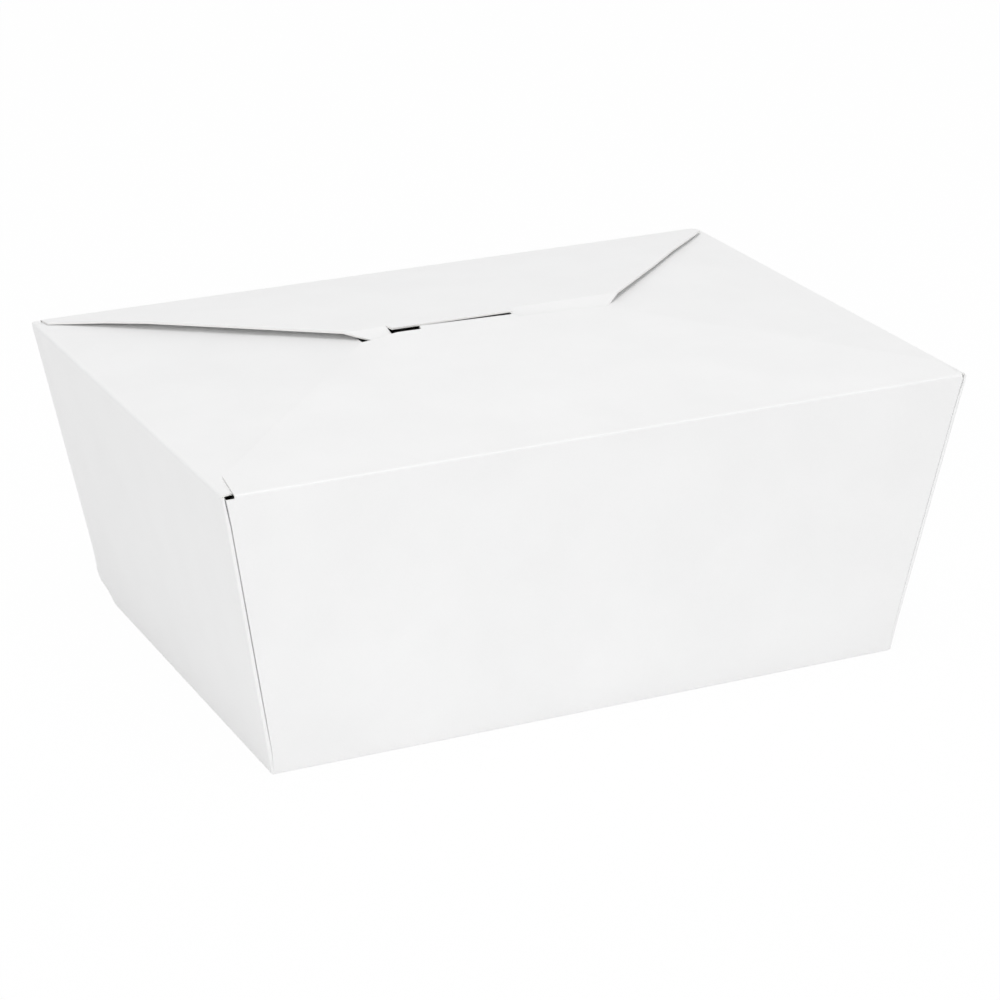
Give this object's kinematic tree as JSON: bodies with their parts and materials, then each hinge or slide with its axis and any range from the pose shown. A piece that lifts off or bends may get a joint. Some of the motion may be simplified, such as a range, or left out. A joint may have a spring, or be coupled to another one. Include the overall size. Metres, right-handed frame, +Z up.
{
  "type": "takeout food box",
  "caption": "Folded board takeout food box with leaning walls, web corners and a low hipped lid of four flaps; the front flap opens on its crease.",
  "frame": {"origin": "centre of the base's underside", "axes": "+X along the box's length, +Z up, -Y towards the front wall, whose flap opens"},
  "size_m": [0.2278, 0.1648, 0.0965],
  "materials": {
    "board": "white coated board, satin"
  },
  "bodies": {
    "carton_body": {"carton": "board"},
    "front_flap_body": {"front_flap": "board"}
  },
  "joints": [
    {"name": "front_flap_hinge", "type": "hinge", "parent": "carton_body", "child": "front_flap_body", "pos_m": [0, -0.08183, 0.08745], "axis": [1, 0, 0], "range_deg": [0, 200]}
  ]
}
